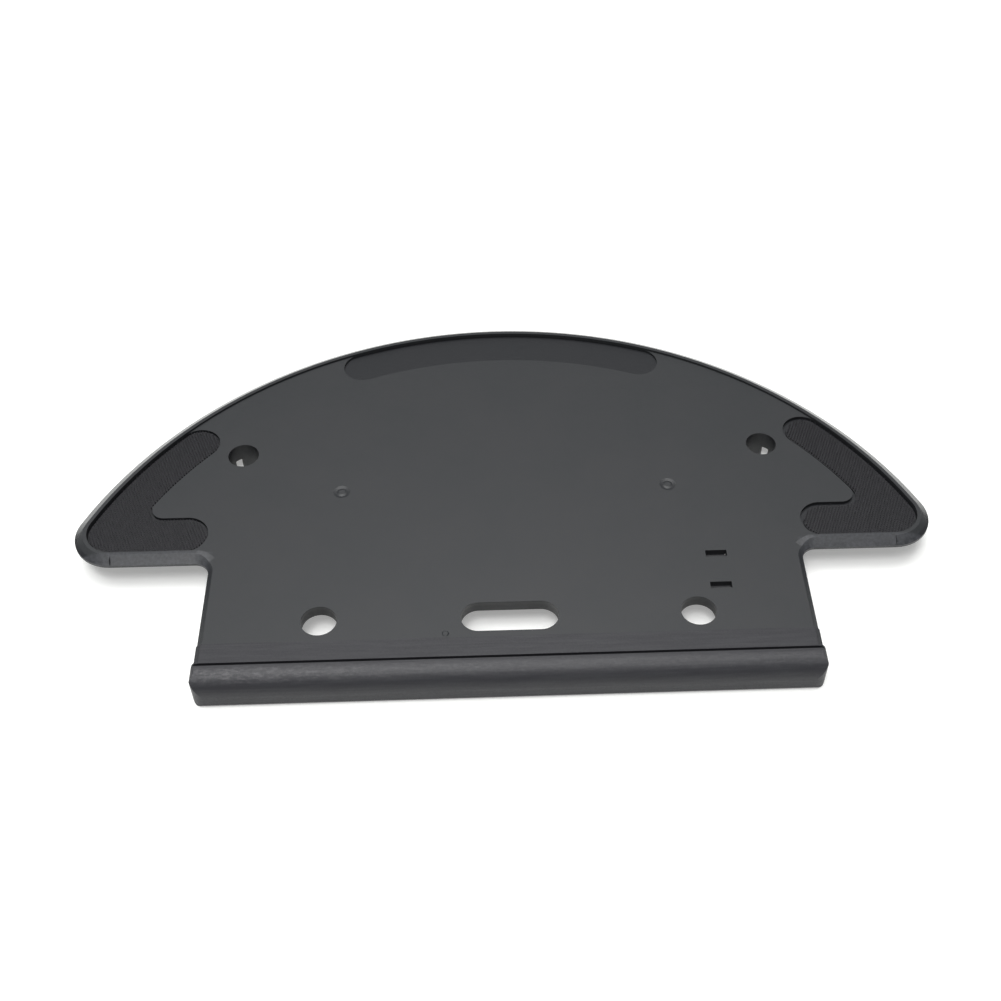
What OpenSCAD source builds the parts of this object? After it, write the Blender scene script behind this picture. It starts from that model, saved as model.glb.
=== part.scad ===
// Robot vacuum mop bracket: a moulded plate that snaps under the robot on two
// hollow posts. The cloth side is up: two pads of hook tape grip the cloth, and
// a soft nose strip closes the straight front edge. Units are millimetres.
// Frame: X across the bracket, Y from the nose strip to the curved edge, Z up.

/* [Outline] */
// radius of the curved edge, a little inside the robot's own rim
arc_r = 162; // [155:0.5:170]
// distance from the arc's centre to the straight rear edge of the wings
wing_y = 42.3; // [38:0.1:48]
// rounding of the wing tips
tip_r = 14.3; // [12:0.1:18]
// width of the straight tail between the two wings
tail_w = 205.2; // [196:0.2:212]
// hollow corner between a wing and the tail
corner_r = 5; // [3:0.5:8]
// distance that the nose strip reaches in front of the arc's centre
nose_reach = 10; // [8:0.5:12]

/* [Plate section] */
// height of the cloth face above the post ends
face_h = 12.5; // [11:0.1:15]
// thickness of the moulded skin under the cloth face
skin_t = 2.3; // [1.8:0.1:3]
// height of the raised lip above the cloth face
lip_h = 0.9; // [0.6:0.1:1.4]
// width of the flat top of the lip
lip_w = 1.3; // [0.8:0.1:2]
// width of the sloping edge outside the lip
bevel_w = 3.1; // [2:0.1:4]
// fall of the sloping edge, from the lip's top
bevel_drop = 2.2; // [1.8:0.1:2.6]
// depth of the stiffening ribs and the skirt below the skin
rib_d = 2.2; // [1.5:0.1:3]
// thickness of a stiffening rib
rib_t = 1.4; // [1:0.1:2]
// thickness of the skirt that runs round the hidden side
skirt_t = 1.8; // [1.4:0.1:2.4]
// distance of the skirt from the outer edge
skirt_inset = 3.6; // [3:0.1:5]

/* [Holes and slot] */
// distance of each locating hole from the middle
hole_x = 63.4; // [60:0.1:68]
// line of the locating holes and the slot, from the arc's centre
hole_y = 14.8; // [14:0.1:18]
// diameter of the locating holes, and width of the slot
hole_d = 12; // [10:0.1:12.4]
// length of the middle slot, over its round ends
slot_l = 32.8; // [28:0.2:38]
// wall of the collars round the holes and the slot
collar_t = 1.8; // [1.4:0.1:2]

/* [Snap posts] */
// distance of each post from the middle
post_x = 95.7; // [93:0.1:98]
// line of the posts, from the arc's centre
post_y = 93; // [90:0.1:95]
// bore of a post, open through the plate
post_bore = 11.1; // [10:0.1:11.6]
// wall of a post
post_wall = 1.6; // [1.4:0.1:1.8]
// width of the slit that lets a post flex
slit_w = 3; // [2:0.1:3.2]
// depth of the slit's top below the cloth face
slit_top = 6.9; // [6:0.1:9]
// turn of the slit outward, in degrees from the Y axis
slit_turn = 33; // [0:1:45]
// how far the snap bead stands out of a post
bead = 0.2; // [0.1:0.05:0.2]
// thickness of the ring round the root of a post
root_t = 2.4; // [1.6:0.1:3]

/* [Tape recesses] */
// inner radius of the recess band
band_in_r = 142.7; // [141.6:0.1:146]
// depth of the wing recesses that hold the hook tape
tape_recess = 1.4; // [1:0.1:1.5]
// depth of the bare recess at the top of the arc
bare_recess = 1; // [0.6:0.1:1.4]
// half angle that the bare recess spans, at its end centres
bare_half = 21; // [18:0.5:24]
// angle from the Y axis to the end centre of a wing recess
wing_angle = 48.5; // [46:0.5:52]
// width of the straight leg of a wing recess
leg_w = 16; // [14:0.1:17]
// distance from the middle to the end of the straight leg
leg_x = 104.3; // [103:0.1:108]
// rounding where the band and the leg meet
elbow_r = 4.5; // [3:0.1:6]

/* [Hook tape] */
// gap between the tape and its recess
tape_gap = 0.4; // [0.2:0.1:0.6]
// thickness of the tape's backing
tape_base = 0.6; // [0.4:0.1:0.8]
// height of the hook rows above the backing
row_h = 0.6; // [0.3:0.1:0.7]
// spacing of the hook rows
row_pitch = 1; // [1:0.1:1.6]
// width of a hook row
row_w = 0.45; // [0.3:0.05:0.6]
// lean of the hook rows from the Y axis, in degrees
row_lean = 22; // [0:1:30]
// offset of the right tape, which was stuck on a little out of place
stray = 0.4; // [0:0.05:0.5]

/* [Nose strip] */
// width of the nose strip, a little wider than the tail
nose_w = 208; // [206.4:0.2:214]
// height of the nose strip above the table
nose_h = 12.4; // [11.5:0.1:12.5]
// rounding of the nose, seen from its end
nose_r = 7; // [5:0.5:7.5]
// line where the strip's flap meets the plate, from the arc's centre
flap_y = 6.5; // [5:0.1:6.6]
// thickness of the strip's flaps above and below the plate's tongue
flap_t = 1.2; // [1:0.1:1.4]
// width of the groove between flap and nose
groove_w = 0.9; // [0.6:0.1:1.2]
// line of the groove, in front of the arc's centre
groove_y = 1.7; // [1.5:0.1:2]
// spacing of the keys that lock the strip into the tongue
key_pitch = 17; // [14:0.5:20]

/* [Magnet seat] */
// distance of the magnet's middle from the bracket's middle
magnet_x = 72.3; // [71:0.1:76]
// line of the magnet's middle, from the arc's centre
magnet_y = 32.7; // [31:0.1:34]
// length, width and thickness of the magnet
magnet_l = 16.8; // [15:0.1:18]
magnet_w = 8; // [6:0.1:9]
magnet_t = 3; // [2:0.1:4]
// size of the windows over the hooks
window_l = 7.4; // [6:0.1:8]
window_w = 2.9; // [2.4:0.1:3.2]

/* [Hidden] */
$fn = 96;
// level of each surface above the post ends
lip_z = face_h + lip_h;
edge_z = lip_z - bevel_drop;
skin_z = face_h - skin_t;
rib_z = skin_z - rib_d;
// middle of the part from front to back, which is Y = 0 of the frame
mid_y = (arc_r - nose_reach) / 2;
tail_x = tail_w / 2;
nose_x = nose_w / 2;
hole_r = hole_d / 2;
slot_run = slot_l / 2 - hole_r;
post_r = post_bore / 2 + post_wall;
// inner edge of the lip, where the cloth face starts
lip_in = bevel_w + lip_w;
// radius, centre line and half width of the recess band
band_out_r = arc_r - lip_in;
band_mid_r = (band_in_r + band_out_r) / 2;
band_half = (band_out_r - band_in_r) / 2;
leg_y = wing_y + lip_in;
leg_half = leg_w / 2;
// centre of the rounded wing tip, which every inset outline shares
tip_cy = wing_y + tip_r;
tip_cx = sqrt((arc_r - tip_r) * (arc_r - tip_r) - tip_cy * tip_cy);
tip_angle = atan2(tip_cy, tip_cx);
// line that parts the leg of a wing recess from its band
elbow_y = leg_y + leg_w + elbow_r;
tongue_top = face_h - flap_t;
tongue_t = 2;
tongue_low = tongue_top - tongue_t;
tongue_y = 0.4;
tongue_x = tail_x - 3.1;
key_l = 6;
key_w = 2.4;
// margin by which a cutter passes a surface
over = 1;
hair = 0.02;

module mirrored() {
    children();
    mirror([1, 0, 0]) children();
}

// Outlines, seen from above.

// a disc cut off at a straight base, with rounded corners between the two
module cap(radius, base_y, round_r) {
    cy = base_y + round_r;
    cx = sqrt((radius - round_r) * (radius - round_r) - cy * cy);
    out = 2 * round_r / (radius - round_r);
    difference() {
        circle(radius, $fn = 360);
        translate([-2 * radius, base_y - 4 * radius]) square(4 * radius);
        // the sharp corner outside the rounding
        mirrored() difference() {
            polygon([[cx, cy], [cx, cy - 2 * round_r], [cx + 4 * round_r, cy - 2 * round_r],
                [cx + 4 * round_r, cy + 2 * round_r], [cx + out * cx, cy + out * cy]]);
            translate([cx, cy]) circle(round_r);
        }
    }
}

// the plate, drawn a given distance inside its edge
module outline(inset) {
    corner_y = wing_y - corner_r;
    reach = corner_r + inset;
    cap(arc_r - inset, wing_y + inset, tip_r - inset);
    translate([inset - tail_x, flap_y]) square([tail_w - 2 * inset, 2 * wing_y - flap_y]);
    mirrored() difference() {
        translate([tail_x - inset - over, corner_y]) square(reach + over);
        translate([tail_x + corner_r, corner_y]) circle(reach);
    }
}

// round end of a recess band, a hair wider than the band so that it meets its edges
module band_end(angle, half) {
    rotate(-angle) translate([0, band_mid_r]) circle(half + hair);
}

// recess at the top of the arc
module bare_shape(inset) {
    reach = 2 * arc_r;
    side_x = reach * sin(bare_half);
    side_y = reach * cos(bare_half);
    difference() {
        circle(band_out_r - inset, $fn = 360);
        circle(band_in_r + inset, $fn = 360);
        difference() {
            polygon([[0, 0], [side_x, side_y], [reach, -reach], [-reach, -reach], [-side_x, side_y]]);
            band_end(bare_half, band_half - inset);
            band_end(-bare_half, band_half - inset);
        }
    }
}

// bent recess of the right wing: a band along the arc and a straight leg
module wing_shape(inset) {
    end_cx = leg_x + leg_half;
    difference() {
        cap(band_out_r - inset, leg_y + inset, tip_r - lip_in - inset);
        cap(band_in_r + inset, leg_y + leg_w - inset, elbow_r + inset);
        difference() {
            translate([-arc_r, 0]) square([arc_r + end_cx, elbow_y]);
            translate([end_cx, leg_y + leg_half]) circle(leg_half - inset + hair);
        }
        difference() {
            rotate(90 - wing_angle) translate([-arc_r, 0]) square(2 * arc_r);
            band_end(wing_angle, band_half - inset);
        }
        translate([-arc_r, elbow_y]) square([arc_r + end_cx / 2, arc_r]);
    }
}

module slot_shape(radius) {
    mirrored() translate([slot_run, hole_y]) circle(radius);
    translate([-slot_run, hole_y - radius]) square([2 * slot_run, 2 * radius]);
}

// Sloping edge.

// what the slope removes, with X as the distance inside the outline
module slope_profile() {
    rise = bevel_drop / bevel_w * over;
    polygon([[-over, edge_z - rise], [bevel_w + over, lip_z + rise], [-over, lip_z + rise]]);
}

module slope_turn(angle, radius) {
    rotate_extrude(angle = angle, $fn = 360) translate([radius, 0]) mirror([1, 0]) slope_profile();
}

module arc_slope() {
    rotate([0, 0, tip_angle]) slope_turn(180 - 2 * tip_angle, arc_r);
}

module tip_slope() {
    translate([tip_cx, tip_cy, 0]) rotate([0, 0, -90]) slope_turn(90 + tip_angle, tip_r);
}

module wing_slope() {
    translate([tail_x + corner_r, wing_y, 0]) rotate([90, 0, 90])
        linear_extrude(tip_cx - tail_x - corner_r) slope_profile();
}

module corner_slope() {
    translate([tail_x + corner_r, wing_y - corner_r, 0]) rotate([0, 0, 90])
        rotate_extrude(angle = 90) translate([corner_r, 0]) slope_profile();
}

// slope beside the tail or the nose strip's flap, x from the middle
module side_slope(x, y_0, y_1) {
    translate([x, y_1, 0]) rotate([90, 0, 0]) linear_extrude(y_1 - y_0) mirror([1, 0]) slope_profile();
}

module tail_slope() {
    side_slope(tail_x, flap_y - over, wing_y - corner_r);
}

// ramp that ends the lip at the inner corner of the right wing
module lip_ramp() {
    ramp_run = 6;
    ramp_angle = atan2(lip_h, ramp_run);
    intersection() {
        translate([tail_x + corner_r, wing_y + bevel_w, lip_z]) rotate([0, 0, 45])
            rotate([0, -ramp_angle, 0]) translate([-4 * ramp_run, -2 * ramp_run, 0])
            cube([4 * ramp_run, 4 * ramp_run, 3 * lip_h]);
        translate([tail_x - 3 * lip_in, wing_y - corner_r - over, face_h]) cube([6 * lip_in, 5 * lip_in, lip_h + over]);
    }
}

// plain slab with the lip standing round the wings and the arc
module lipped_slab() {
    difference() {
        translate([0, 0, skin_z]) linear_extrude(lip_z - skin_z) outline(0);
        translate([0, 0, face_h]) linear_extrude(lip_h + over) {
            outline(lip_in);
            translate([-tail_x - over, flap_y - over]) square([tail_w + 2 * over, wing_y - corner_r - flap_y + over]);
        }
        lip_ramp();
        mirror([1, 0, 0]) lip_ramp();
    }
}

module sloped_right() {
    difference() {
        lipped_slab();
        arc_slope();
        tip_slope();
        wing_slope();
        corner_slope();
        tail_slope();
    }
}

module sloped_slab() {
    difference() {
        sloped_right();
        mirror([1, 0, 0]) tip_slope();
        mirror([1, 0, 0]) wing_slope();
        mirror([1, 0, 0]) corner_slope();
        mirror([1, 0, 0]) tail_slope();
    }
}

// Hidden side.

module skirt() {
    difference() {
        outline(skirt_inset);
        outline(skirt_inset + skirt_t);
    }
}

module rib_lines() {
    for (x = [0, 32, 64]) mirrored() translate([x - rib_t / 2, 0]) square([rib_t, arc_r]);
    for (y = [36, 62, 88, 114]) translate([-arc_r, y]) square([2 * arc_r, rib_t]);
}

module ribs() {
    difference() {
        intersection() {
            outline(skirt_inset + over);
            rib_lines();
        }
        // the ribs stop short of the magnet and its hooks
        translate([magnet_x, magnet_y]) square([magnet_w + 4, magnet_l + 6], center = true);
    }
}

module collars() {
    mirrored() translate([hole_x, hole_y]) circle(hole_r + collar_t);
    slot_shape(hole_r + collar_t);
}

// hollow post that snaps into the robot, on a thick root ring
module snap_post() {
    bead_z = 2.6;
    bead_h = 1.6;
    cylinder(r = post_r, h = skin_z + over);
    translate([0, 0, bead_z - bead_h]) cylinder(r1 = post_r, r2 = post_r + bead, h = bead_h);
    translate([0, 0, bead_z]) cylinder(r1 = post_r + bead, r2 = post_r, h = 2 * bead);
    translate([0, 0, rib_z]) cylinder(r = post_r + root_t, h = rib_d + over);
}

module post_opening() {
    cylinder(r = post_bore / 2, h = 3 * face_h, center = true);
    rotate([0, 0, -slit_turn]) translate([-slit_w / 2, -post_r - 2, -over])
        cube([slit_w, 2 * (post_r + 2), face_h - slit_top + over]);
}

// a hook hangs beside the magnet and reaches under its end
module magnet_hook() {
    stem_t = 1.6;
    reach = 1.3;
    grip_z = skin_z - magnet_t - 0.1;
    hook_w = window_l - 0.8;
    translate([-hook_w / 2, 0, 0]) rotate([90, 0, 90]) linear_extrude(hook_w)
        polygon([[0, skin_z + over], [stem_t, skin_z + over], [stem_t, grip_z - 1.6], [0, grip_z - 1.6],
            [-reach, grip_z - 0.5], [-reach, grip_z], [0, grip_z]]);
}

module magnet_seat() {
    half = magnet_l / 2 + 0.15;
    wall_t = 1.2;
    translate([magnet_x, magnet_y, 0]) {
        for (turn = [0, 180]) rotate([0, 0, turn]) translate([0, half, 0]) magnet_hook();
        mirrored() translate([magnet_w / 2 + 0.2, -magnet_l / 2, rib_z]) cube([wall_t, magnet_l, rib_d + over]);
    }
}

// windows in the skin, one over each hook; a ledge is left along the near edge
module windows() {
    off_y = magnet_l / 2 + 0.15 - window_w / 2;
    ledge = 0.7;
    for (side = [-1, 1]) translate([magnet_x - window_l / 2, magnet_y + side * off_y - window_w / 2, 0]) {
        translate([0, ledge, skin_z - over]) cube([window_l, window_w - ledge, 2 * skin_t]);
        translate([0, 0, face_h - 0.5]) cube([window_l, window_w, over]);
        translate([0, 0, skin_z - over]) cube([1.3, window_w, 2 * skin_t]);
    }
}

// Moulding marks.

// shallow ring left by an ejector, with a dimple round a flat middle
module mould_ring() {
    rotate_extrude() polygon([[1.1, face_h + over], [1.1, face_h], [1.9, face_h - 0.3],
        [3, face_h], [3, face_h + over]]);
}

// stump where the plastic was fed into the mould
module gate_stump() {
    cylinder(r1 = 1.3, r2 = 0.8, h = 0.35);
}

// Tongue that the nose strip grips.

module key_places() {
    count = floor(tongue_x / key_pitch);
    for (i = [-count : count]) translate([i * key_pitch, 0, 0]) children();
}

module tongue() {
    back = flap_y + skirt_inset + over;
    translate([-tongue_x, tongue_y, tongue_low]) cube([2 * tongue_x, back - tongue_y, tongue_t]);
}

module key(height) {
    translate([-key_l / 2, 2.2, tongue_low]) cube([key_l, key_w, height]);
}

// The pieces.

module plate_solid() {
    sloped_slab();
    translate([0, 0, rib_z]) linear_extrude(rib_d + 0.5) {
        skirt();
        ribs();
        collars();
    }
    // floors under the recesses
    translate([0, 0, skin_z - 0.9]) linear_extrude(1.2) intersection() {
        outline(skirt_inset);
        union() {
            mirrored() wing_shape(-1.6);
            bare_shape(-1.6);
        }
    }
    mirrored() translate([post_x, post_y, 0]) snap_post();
    tongue();
    magnet_seat();
    translate([-21.4, flap_y + 1.5, face_h - 0.05]) gate_stump();
}

module mop_plate() {
    color([0.27, 0.28, 0.29]) translate([0, -mid_y, 0]) difference() {
        plate_solid();
        translate([0, 0, face_h - bare_recess]) linear_extrude(3) bare_shape(0);
        translate([0, 0, face_h - tape_recess]) linear_extrude(3) mirrored() wing_shape(0);
        mirrored() translate([hole_x, hole_y, 0]) cylinder(r = hole_r, h = 2 * face_h);
        linear_extrude(2 * face_h) slot_shape(hole_r);
        mirrored() translate([post_x, post_y, 0]) post_opening();
        windows();
        mirrored() translate([58.8, 73.4, 0]) mould_ring();
        key_places() translate([0, 0, -over]) key(tongue_t + 2 * over);
    }
}

// section of the nose strip, with X toward the back and Y up
module nose_section() {
    front = -nose_reach;
    foot_r = 1.6;
    back = -0.6;
    difference() {
        union() {
            translate([front, foot_r]) square([back - front, nose_h - nose_r - foot_r]);
            translate([front + nose_r, nose_h - nose_r]) circle(nose_r);
            translate([front + nose_r, foot_r]) square([back - front - nose_r, nose_h - foot_r]);
            translate([front + foot_r, foot_r]) circle(foot_r);
            translate([front + foot_r, 0]) square([back - front - foot_r, 2 * foot_r]);
        }
        groove_section();
    }
}

// groove that lets the nose bend down
module groove_section() {
    translate([-groove_y, face_h - 1]) circle(groove_w / 2);
    translate([-groove_y - groove_w / 2, face_h - 1]) square([groove_w, 2]);
}

// the flaps above and below the tongue, and the web between them
module flap_section() {
    low = tongue_low - flap_t;
    difference() {
        translate([-groove_y, low]) square([flap_y + groove_y, face_h - low]);
        translate([tongue_y, tongue_low]) square([flap_y + over, tongue_t]);
        translate([flap_y - 1, low - over]) square([over + 1, flap_t + 2 * over]);
        groove_section();
    }
}

module rounded_block(width, y_0, y_1, front_r, back_r) {
    x = width / 2;
    mirrored() {
        translate([x - front_r, y_0 + front_r]) circle(front_r);
        translate([x - back_r, y_1 - back_r]) circle(back_r);
        translate([0, y_0]) square([x - front_r, y_1 - y_0]);
        translate([0, y_0 + front_r]) square([x, y_1 - y_0 - front_r - back_r]);
        translate([0, y_1 - 2 * back_r]) square([x - back_r, 2 * back_r]);
    }
}

// pockets moulded into the foot, so that the thick nose sets evenly
module nose_pockets() {
    wall = 2.8;
    web = 3;
    count = 6;
    pitch = (nose_w - 2 * wall) / count;
    for (i = [0 : count - 1]) translate([wall - nose_x + i * pitch + web / 2, wall - nose_reach, -over])
        cube([pitch - web, nose_reach - 0.6 - 2 * wall, 7.5]);
}

module nose_strip() {
    flap_x = tail_x + 0.3;
    end_x = nose_x + over;
    color([0.2, 0.2, 0.205]) translate([0, -mid_y, 0]) {
        difference() {
            intersection() {
                translate([-end_x, 0, 0]) rotate([90, 0, 90]) linear_extrude(2 * end_x) nose_section();
                linear_extrude(face_h) rounded_block(nose_w, -nose_reach, -0.6, 4, 1);
                translate([0, over, 0]) rotate([90, 0, 0]) linear_extrude(nose_reach + 3 * over)
                    rounded_block(nose_w, 0, nose_h, 1.6, 3);
            }
            nose_pockets();
        }
        difference() {
            translate([-flap_x, 0, 0]) rotate([90, 0, 90]) linear_extrude(2 * flap_x) flap_section();
            side_slope(flap_x, -2 * over, flap_y + over);
            mirror([1, 0, 0]) side_slope(flap_x, -2 * over, flap_y + over);
        }
        // end blocks beside the tongue
        mirrored() difference() {
            translate([tongue_x, -over, tongue_low - 0.5]) cube([flap_x - tongue_x, flap_y + over, tongue_t + 1]);
            side_slope(flap_x, -2 * over, flap_y + over);
        }
        key_places() translate([0, 0, -0.3]) key(tongue_t + 0.6);
    }
}

// rows of hooks on a backing, for the right wing
module hook_pad(inset) {
    floor_z = face_h - tape_recess;
    mid = [arc_r * 0.78, arc_r * 0.46];
    half_count = 40;
    translate([0, 0, floor_z]) linear_extrude(tape_base) wing_shape(inset);
    translate([0, 0, floor_z + tape_base - 0.1]) linear_extrude(row_h + 0.1) intersection() {
        wing_shape(inset + 0.3);
        translate(mid) rotate(-row_lean) for (i = [-half_count : half_count])
            translate([i * row_pitch - row_w / 2, -60]) square([row_w, 120]);
    }
}

module left_hook_pad() {
    color([0.1, 0.1, 0.1]) translate([0, -mid_y, 0]) mirror([1, 0, 0]) hook_pad(tape_gap);
}

module right_hook_pad() {
    color([0.1, 0.1, 0.1]) translate([stray, -mid_y - stray, 0]) hook_pad(tape_gap + stray);
}

module detection_magnet() {
    color([0.16, 0.16, 0.17]) translate([magnet_x - magnet_w / 2, magnet_y - magnet_l / 2 - mid_y, skin_z - magnet_t])
        cube([magnet_w, magnet_l, magnet_t]);
}

mop_plate();
nose_strip();
left_hook_pad();
right_hook_pad();
detection_magnet();
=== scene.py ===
import bpy
import bmesh
import math
import random
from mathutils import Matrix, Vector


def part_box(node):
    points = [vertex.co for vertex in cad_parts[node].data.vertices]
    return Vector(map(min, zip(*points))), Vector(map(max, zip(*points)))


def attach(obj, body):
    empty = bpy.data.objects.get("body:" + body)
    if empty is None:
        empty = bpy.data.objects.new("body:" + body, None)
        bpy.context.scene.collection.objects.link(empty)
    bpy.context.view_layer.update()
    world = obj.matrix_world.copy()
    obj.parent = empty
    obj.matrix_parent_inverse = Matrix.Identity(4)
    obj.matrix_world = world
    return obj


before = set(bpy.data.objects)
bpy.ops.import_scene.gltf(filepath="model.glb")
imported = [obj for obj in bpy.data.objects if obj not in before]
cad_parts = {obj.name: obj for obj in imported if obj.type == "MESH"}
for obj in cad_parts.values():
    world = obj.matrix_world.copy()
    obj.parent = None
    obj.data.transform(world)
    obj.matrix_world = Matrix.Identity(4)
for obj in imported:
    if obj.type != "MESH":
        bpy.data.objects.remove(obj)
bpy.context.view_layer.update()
scene = bpy.context.scene
MM = 0.001

# ---- real sizes, in millimetres, in the part's own frame ----
MID_Y = 76.0          # the arc's centre lies at y = -MID_Y
FACE_Z = 12.5         # the cloth face
LIP_Z = 13.4
ARC_R = 162.0
RECESS = 1.4
BAND_IN, BAND_OUT = 142.7, 157.6
WING_ANGLE = math.radians(48.5)
LEG_X = 104.3
LEG_Y0, LEG_Y1 = 46.7, 62.7
ELBOW_R = 4.5
TIP_R = 14.3
TIP_IN = 4.4
WING_Y = 42.3
HOLE_X, HOLE_Y, HOLE_R = 63.4, 14.8, 6.0
POST_X, POST_Y = 95.7, 93.0
GROOVE_Y = -1.7
FLAP_Y = 6.5


def arc(x, y, z=FACE_Z):
    """A point given from the arc's centre, in metres in the row frame."""
    return (x * MM, (y - MID_Y) * MM, z * MM)


# ---- camera ----
cam = bpy.data.cameras.new("camera")
cam.sensor_width = 36.0
cam.lens = 49.808
cam.shift_x = -0.05
cam.shift_y = 0.05
cam.clip_start = 0.01
cam.clip_end = 50.0
cam_ob = bpy.data.objects.new("camera", cam)
scene.collection.objects.link(cam_ob)
cam_ob.location = (-0.00438, -0.3471, 0.37581)
cam_ob.rotation_euler = (math.radians(40.892), math.radians(-0.76), math.radians(-2.634))
scene.camera = cam_ob


# ---- node helpers ----
class Graph:
    def __init__(self, name):
        self.mat = bpy.data.materials.new(name)
        self.mat.use_nodes = True
        self.tree = self.mat.node_tree
        self.tree.nodes.clear()
        self.out = self.add("ShaderNodeOutputMaterial")
        self._mm = None

    def add(self, kind, **props):
        node = self.tree.nodes.new(kind)
        for key, value in props.items():
            setattr(node, key, value)
        return node

    def put(self, socket, value):
        if isinstance(value, bpy.types.NodeSocket):
            self.tree.links.new(value, socket)
        elif value is not None:
            socket.default_value = value

    def mm(self):
        """Object position in millimetres."""
        if self._mm is None:
            co = self.add("ShaderNodeTexCoord")
            mul = self.add("ShaderNodeVectorMath", operation="SCALE")
            self.put(mul.inputs[0], co.outputs["Object"])
            mul.inputs["Scale"].default_value = 1000.0
            self._mm = mul.outputs[0]
        return self._mm

    def xyz(self, vec=None):
        sep = self.add("ShaderNodeSeparateXYZ")
        self.put(sep.inputs[0], vec or self.mm())
        return sep.outputs[0], sep.outputs[1], sep.outputs[2]

    def calc(self, op, a, b=0.0, c=None, clamp=False):
        node = self.add("ShaderNodeMath", operation=op, use_clamp=clamp)
        self.put(node.inputs[0], a)
        self.put(node.inputs[1], b)
        if c is not None:
            self.put(node.inputs[2], c)
        return node.outputs[0]

    def scaled(self, sx, sy, sz, turn=0.0, vec=None):
        node = self.add("ShaderNodeMapping")
        self.put(node.inputs["Vector"], vec or self.mm())
        node.inputs["Scale"].default_value = (sx, sy, sz)
        node.inputs["Rotation"].default_value = (0, 0, turn)
        return node.outputs[0]

    def noise(self, scale, detail=2.0, rough=0.5, vec=None, distort=0.0):
        node = self.add("ShaderNodeTexNoise")
        self.put(node.inputs["Vector"], vec or self.mm())
        node.inputs["Scale"].default_value = scale
        node.inputs["Detail"].default_value = detail
        node.inputs["Roughness"].default_value = rough
        node.inputs["Distortion"].default_value = distort
        return node.outputs["Fac"]

    def cells(self, scale, vec=None, feature="F1"):
        node = self.add("ShaderNodeTexVoronoi", feature=feature)
        self.put(node.inputs["Vector"], vec or self.mm())
        node.inputs["Scale"].default_value = scale
        return node.outputs["Distance"]

    def ease(self, value, low, high, to_low=0.0, to_high=1.0):
        node = self.add("ShaderNodeMapRange", interpolation_type="SMOOTHSTEP")
        self.put(node.inputs["Value"], value)
        node.inputs["From Min"].default_value = low
        node.inputs["From Max"].default_value = high
        node.inputs["To Min"].default_value = to_low
        node.inputs["To Max"].default_value = to_high
        return node.outputs[0]

    def mix(self, fac, a, b):
        node = self.add("ShaderNodeMix", data_type="RGBA")
        self.put(node.inputs["Factor"], fac)
        self.put(node.inputs[6], a)
        self.put(node.inputs[7], b)
        return node.outputs[2]

    def blend(self, fac, a, b):
        node = self.add("ShaderNodeMix", data_type="FLOAT")
        self.put(node.inputs[0], fac)
        self.put(node.inputs[2], a)
        self.put(node.inputs[3], b)
        return node.outputs[0]

    def dist(self, x, y):
        """Distance in the plane from a point given from the arc's centre, in millimetres."""
        px, py, _ = self.xyz()
        dx = self.calc("SUBTRACT", px, x)
        dy = self.calc("SUBTRACT", py, y - MID_Y)
        return self.calc("SQRT", self.calc("ADD", self.calc("MULTIPLY", dx, dx), self.calc("MULTIPLY", dy, dy)))

    def bump(self, height, strength, depth, normal=None):
        node = self.add("ShaderNodeBump")
        node.inputs["Strength"].default_value = strength
        node.inputs["Distance"].default_value = depth
        self.put(node.inputs["Height"], height)
        if normal is not None:
            self.put(node.inputs["Normal"], normal)
        return node.outputs[0]

    def shader(self, color, rough, normal=None, ior=1.5, **extra):
        node = self.add("ShaderNodeBsdfPrincipled")
        self.put(node.inputs["Base Color"], color)
        self.put(node.inputs["Roughness"], rough)
        node.inputs["IOR"].default_value = ior
        if normal is not None:
            self.put(node.inputs["Normal"], normal)
        for key, value in extra.items():
            self.put(node.inputs[key], value)
        self.put(self.out.inputs[0], node.outputs[0])
        return node


def rgb(r, g, b):
    return (r, g, b, 1.0)


# ---- materials ----
def plate_plastic():
    g = Graph("plate_plastic")
    x, y, z = g.xyz()
    fine = g.noise(2.6, 3.0, 0.6)
    grain = g.noise(6.5, 2.0, 0.5)
    cloud = g.noise(0.055, 3.0, 0.55)
    # the recess floors are smoother and darker than the spark-eroded face
    floor_mask = g.ease(z, FACE_Z - 0.5, FACE_Z - 0.3, 1.0, 0.0)
    above_skin = g.ease(z, FACE_Z - 1.6, FACE_Z - 1.55, 0.0, 1.0)
    floor_mask = g.calc("MULTIPLY", floor_mask, above_skin)
    base = g.mix(g.ease(cloud, 0.3, 0.7), rgb(0.0185, 0.0205, 0.0225), rgb(0.0215, 0.0225, 0.0245))
    base = g.mix(g.ease(fine, 0.35, 0.75), base, rgb(0.024, 0.026, 0.0285))
    base = g.mix(g.calc("MULTIPLY", floor_mask, 0.55), base, rgb(0.0125, 0.013, 0.0155))
    # painted highlight: greyer plastic along the rear of the wings and in the hollow corners, where these chamfers
    # face the light
    back_y = g.ease(y, WING_Y - MID_Y + 4.6, WING_Y - MID_Y + 3.8, 0.0, 1.0)
    out_x = g.ease(g.calc("ABSOLUTE", x), 101.0, 104.0, 0.0, 1.0)
    chamfer_highlight = g.calc("MULTIPLY", g.calc("MULTIPLY", back_y, out_x), g.ease(g.noise(0.9, 4.0, 0.6), 0.3, 0.75, 0.25, 1.0))
    # painted highlight: the front-facing chamfers are lightened in colour, and made a little rougher
    base = g.mix(chamfer_highlight, base, rgb(0.048, 0.05, 0.056))
    rough = g.blend(floor_mask, g.ease(fine, 0.3, 0.7, 0.46, 0.56), 0.38)
    # the sloping edge is polished in the mould
    far = g.calc("SQRT", g.calc("ADD", g.calc("MULTIPLY", x, x), g.calc("POWER", g.calc("ADD", y, MID_Y), 2.0)))
    slope = g.ease(far, ARC_R - 3.2, ARC_R - 3.0)
    rough = g.blend(slope, rough, 0.2)
    rough = g.blend(chamfer_highlight, rough, 0.5)
    n1 = g.bump(grain, 0.35, 0.00004)
    n2 = g.bump(fine, 0.3, 0.00006, n1)
    g.shader(base, rough, n2)
    return g.mat


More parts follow.
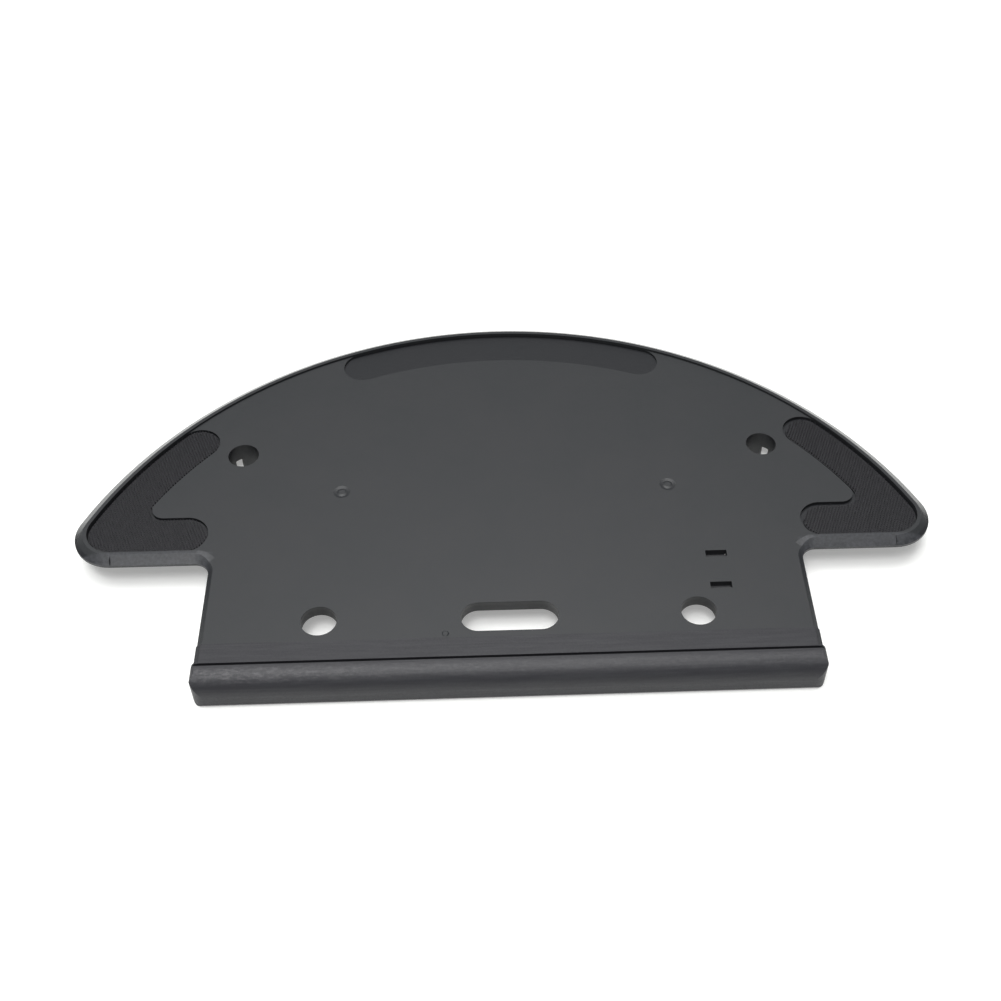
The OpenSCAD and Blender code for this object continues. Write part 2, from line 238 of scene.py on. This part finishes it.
def nose_rubber():
    g = Graph("nose_rubber")
    x, y, z = g.xyz()
    along = g.noise(1.0, 4.0, 0.6, vec=g.scaled(0.06, 1.1, 1.1))
    fine = g.noise(1.7, 4.0, 0.65)
    base = g.mix(g.ease(along, 0.35, 0.7), rgb(0.0165, 0.0165, 0.0205), rgb(0.024, 0.0245, 0.0285))
    # chafed band along the top of the nose, strongest at the left end: partly real chafing, partly painted highlight
    # where the top of the nose catches the light
    top = g.calc("MULTIPLY", g.ease(y, -MID_Y - 9.0, -MID_Y - 6.5), g.ease(y, -MID_Y - 2.2, -MID_Y - 4.2))
    left = g.ease(x, -20.0, -95.0, 0.25, 1.0)
    chafe_and_highlight = g.calc("MULTIPLY", g.calc("MULTIPLY", top, left), g.ease(g.noise(0.8, 5.0, 0.7, vec=g.scaled(0.5, 1.2, 1.2)), 0.42, 0.7))
    base = g.mix(chafe_and_highlight, base, rgb(0.062, 0.06, 0.066))
    rough = g.ease(fine, 0.3, 0.7, 0.46, 0.6)
    n1 = g.bump(fine, 0.35, 0.00008)
    n2 = g.bump(along, 0.3, 0.00015, n1)
    g.shader(base, rough, n2)
    return g.mat


def tape_nylon(name, painted_light_gain):
    g = Graph(name)
    fine = g.noise(5.0, 3.0, 0.6)
    patch = g.noise(0.5, 2.0, 0.5)
    # the gain lightens the whole nylon colour; the hooks' lighter copy is a painted highlight on their crests
    base = g.mix(g.ease(fine, 0.35, 0.7), rgb(0.006, 0.006, 0.008), rgb(0.015 * painted_light_gain, 0.015 * painted_light_gain, 0.018 * painted_light_gain))
    base = g.mix(g.calc("MULTIPLY", g.ease(patch, 0.45, 0.7), 0.35), base, rgb(0.02 * painted_light_gain, 0.019 * painted_light_gain, 0.023 * painted_light_gain))
    n1 = g.bump(fine, 0.4, 0.00008)
    g.shader(base, g.ease(fine, 0.3, 0.7, 0.42, 0.62), n1)
    return g.mat


def ferrite():
    g = Graph("ferrite")
    fine = g.noise(3.5, 4.0, 0.6)
    base = g.mix(fine, rgb(0.016, 0.016, 0.018), rgb(0.036, 0.036, 0.04))
    g.shader(base, g.ease(fine, 0.3, 0.7, 0.5, 0.72), g.bump(fine, 0.35, 0.00005))
    return g.mat


MATS = {
    "mop_plate": plate_plastic(),
    "nose_strip": nose_rubber(),
    "left_hook_pad": tape_nylon("tape_base_left", 1.0),
    "right_hook_pad": tape_nylon("tape_base_right", 1.0),
    "detection_magnet": ferrite(),
}
for name, mat in MATS.items():
    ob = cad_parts[name]
    if not ob.material_slots:
        ob.data.materials.append(mat)
    for s in ob.material_slots:
        s.link = "OBJECT"
        s.material = mat


# ---- hooks of the tape: bent nylon threads standing on the woven rows ----
def hook_rows(name, node, lean, mat, seed):
    rng = random.Random(seed)
    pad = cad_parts[node]
    low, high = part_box(node)
    crest_z = high[2]
    cx, cy = (low[0] + high[0]) / 2, (low[1] + high[1]) / 2
    side = 1 if cx > 0 else -1
    # rows run along "run"; "step" leads from one row to the next
    run = (math.sin(lean), math.cos(lean))
    step = (math.cos(lean), -math.sin(lean))
    off_x, off_y = ROW_START[node]
    verts, faces = [], []
    pitch = 1.0 * MM
    thread = 0.095 * MM
    sides = 4
    bend = 0.24 * MM
    for i in range(-45, 46):
        along = -60.0 * MM + rng.uniform(0, 0.4) * MM
        flip = 1 if i % 2 else -1
        while along < 60.0 * MM:
            along += rng.uniform(0.86, 1.0) * MM
            x = off_x + i * pitch * step[0] + along * run[0] + rng.uniform(-0.05, 0.05) * MM
            y = off_y + i * pitch * step[1] + along * run[1]
            if not (low[0] < x < high[0] and low[1] < y < high[1]):
                continue
            hit, where, _, _ = pad.ray_cast((x, y, 0.02), (0, 0, -1))
            if not hit or where[2] < crest_z - 0.05 * MM:
                continue
            tall = rng.uniform(0.2, 0.36) * MM
            tip = rng.uniform(-0.3, 0.3)
            ux, uy = run[0] * flip, run[1] * flip
            ux, uy = ux * math.cos(tip) - uy * math.sin(tip), ux * math.sin(tip) + uy * math.cos(tip)
            path = [(0.0, -0.1 * MM)]
            for a in (180, 130, 90, 50, 10, -25):
                t = math.radians(a)
                path.append((bend + bend * math.cos(t), tall - 0.05 * MM + bend * math.sin(t)))
            start = len(verts)
            for k, (d, h) in enumerate(path):
                d0, h0 = path[max(k - 1, 0)]
                d1, h1 = path[min(k + 1, len(path) - 1)]
                n = math.hypot(d1 - d0, h1 - h0)
                td, th = (d1 - d0) / n, (h1 - h0) / n
                r = thread * (0.75 if k == len(path) - 1 else 1.0)
                for j in range(sides):
                    w = 2 * math.pi * (j + 0.5) / sides
                    across, up = r * math.cos(w), r * math.sin(w)
                    dd, hh = d - th * up, h + td * up
                    verts.append((x + ux * dd - uy * across, y + uy * dd + ux * across, crest_z + hh))
            for k in range(len(path) - 1):
                for j in range(sides):
                    a = start + k * sides + j
                    b = start + k * sides + (j + 1) % sides
                    faces.append((a, b, b + sides, a + sides))
            end = start + (len(path) - 1) * sides
            faces.append(tuple(end + j for j in range(sides)))
            faces.append(tuple(start + j for j in reversed(range(sides))))
    mesh = bpy.data.meshes.new(name)
    mesh.from_pydata(verts, [], faces)
    mesh.update()
    for poly in mesh.polygons:
        poly.use_smooth = True
    ob = bpy.data.objects.new(name, mesh)
    scene.collection.objects.link(ob)
    mesh.materials.append(mat)
    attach(ob, "root")
    return ob


ROW_LEAN = math.radians(22.0)
ROW_MID = (ARC_R * 0.78, ARC_R * 0.46)
STRAY = 0.4
ROW_START = {
    "left_hook_pad": arc(-ROW_MID[0], ROW_MID[1])[:2],
    "right_hook_pad": arc(ROW_MID[0] + STRAY, ROW_MID[1] - STRAY)[:2],
}
# a 2.6 times lighter copy of the tape nylon for the hooks: painted highlight on the hook crests
hook_mat = tape_nylon("tape_hooks_painted_highlight", 2.6)
hook_rows("left_hooks", "left_hook_pad", -ROW_LEAN, hook_mat, 11)
hook_rows("right_hooks", "right_hook_pad", ROW_LEAN, hook_mat, 12)


# ---- floor, world and light ----
def white_floor():
    g = Graph("table")
    diff = g.add("ShaderNodeBsdfDiffuse")
    diff.inputs[0].default_value = rgb(0.8, 0.805, 0.79)
    glow = g.add("ShaderNodeEmission")
    glow.inputs[0].default_value = rgb(1.0, 1.0, 0.99)
    path = g.add("ShaderNodeLightPath")
    seen = g.calc("MAXIMUM", path.outputs["Is Camera Ray"], path.outputs["Is Glossy Ray"])
    g.put(glow.inputs[1], g.calc("MULTIPLY", seen, 0.32))
    both = g.add("ShaderNodeAddShader")
    g.put(both.inputs[0], diff.outputs[0])
    g.put(both.inputs[1], glow.outputs[0])
    g.put(g.out.inputs[0], both.outputs[0])
    return g.mat


bpy.ops.mesh.primitive_plane_add(size=8.0, location=(0, 0, 0))
table = bpy.context.object
table.name = "table"
table.data.materials.append(white_floor())

world = bpy.data.worlds.new("studio")
scene.world = world
world.use_nodes = True
wt = world.node_tree
wt.nodes.clear()
w_out = wt.nodes.new("ShaderNodeOutputWorld")
bg_seen = wt.nodes.new("ShaderNodeBackground")
bg_seen.inputs[0].default_value = rgb(1, 1, 1)
bg_seen.inputs[1].default_value = 1.0
bg_light = wt.nodes.new("ShaderNodeBackground")
bg_light.inputs[0].default_value = rgb(0.97, 0.985, 1.0)
bg_light.inputs[1].default_value = 0.16
w_path = wt.nodes.new("ShaderNodeLightPath")
w_mix = wt.nodes.new("ShaderNodeMixShader")
wt.links.new(w_path.outputs["Is Camera Ray"], w_mix.inputs[0])
wt.links.new(bg_light.outputs[0], w_mix.inputs[1])
wt.links.new(bg_seen.outputs[0], w_mix.inputs[2])
wt.links.new(w_mix.outputs[0], w_out.inputs[0])


def softbox(name, place, aim, size, power, color=(1, 1, 1)):
    lamp = bpy.data.lights.new(name, "AREA")
    lamp.shape = "RECTANGLE"
    lamp.size, lamp.size_y = size
    lamp.energy = power
    lamp.color = color
    ob = bpy.data.objects.new(name, lamp)
    scene.collection.objects.link(ob)
    ob.location = place
    direction = (aim[0] - place[0], aim[1] - place[1], aim[2] - place[2])
    from mathutils import Vector
    ob.rotation_euler = Vector(direction).to_track_quat("-Z", "Y").to_euler()
    return ob


softbox("overhead", (-0.1, 0.1, 1.3), (0, 0, 0), (1.3, 1.0), 21.0)
softbox("front_key", (-0.1, -0.55, 1.15), (0, 0, 0), (0.5, 0.35), 5.0)

scene.view_settings.view_transform = "Standard"
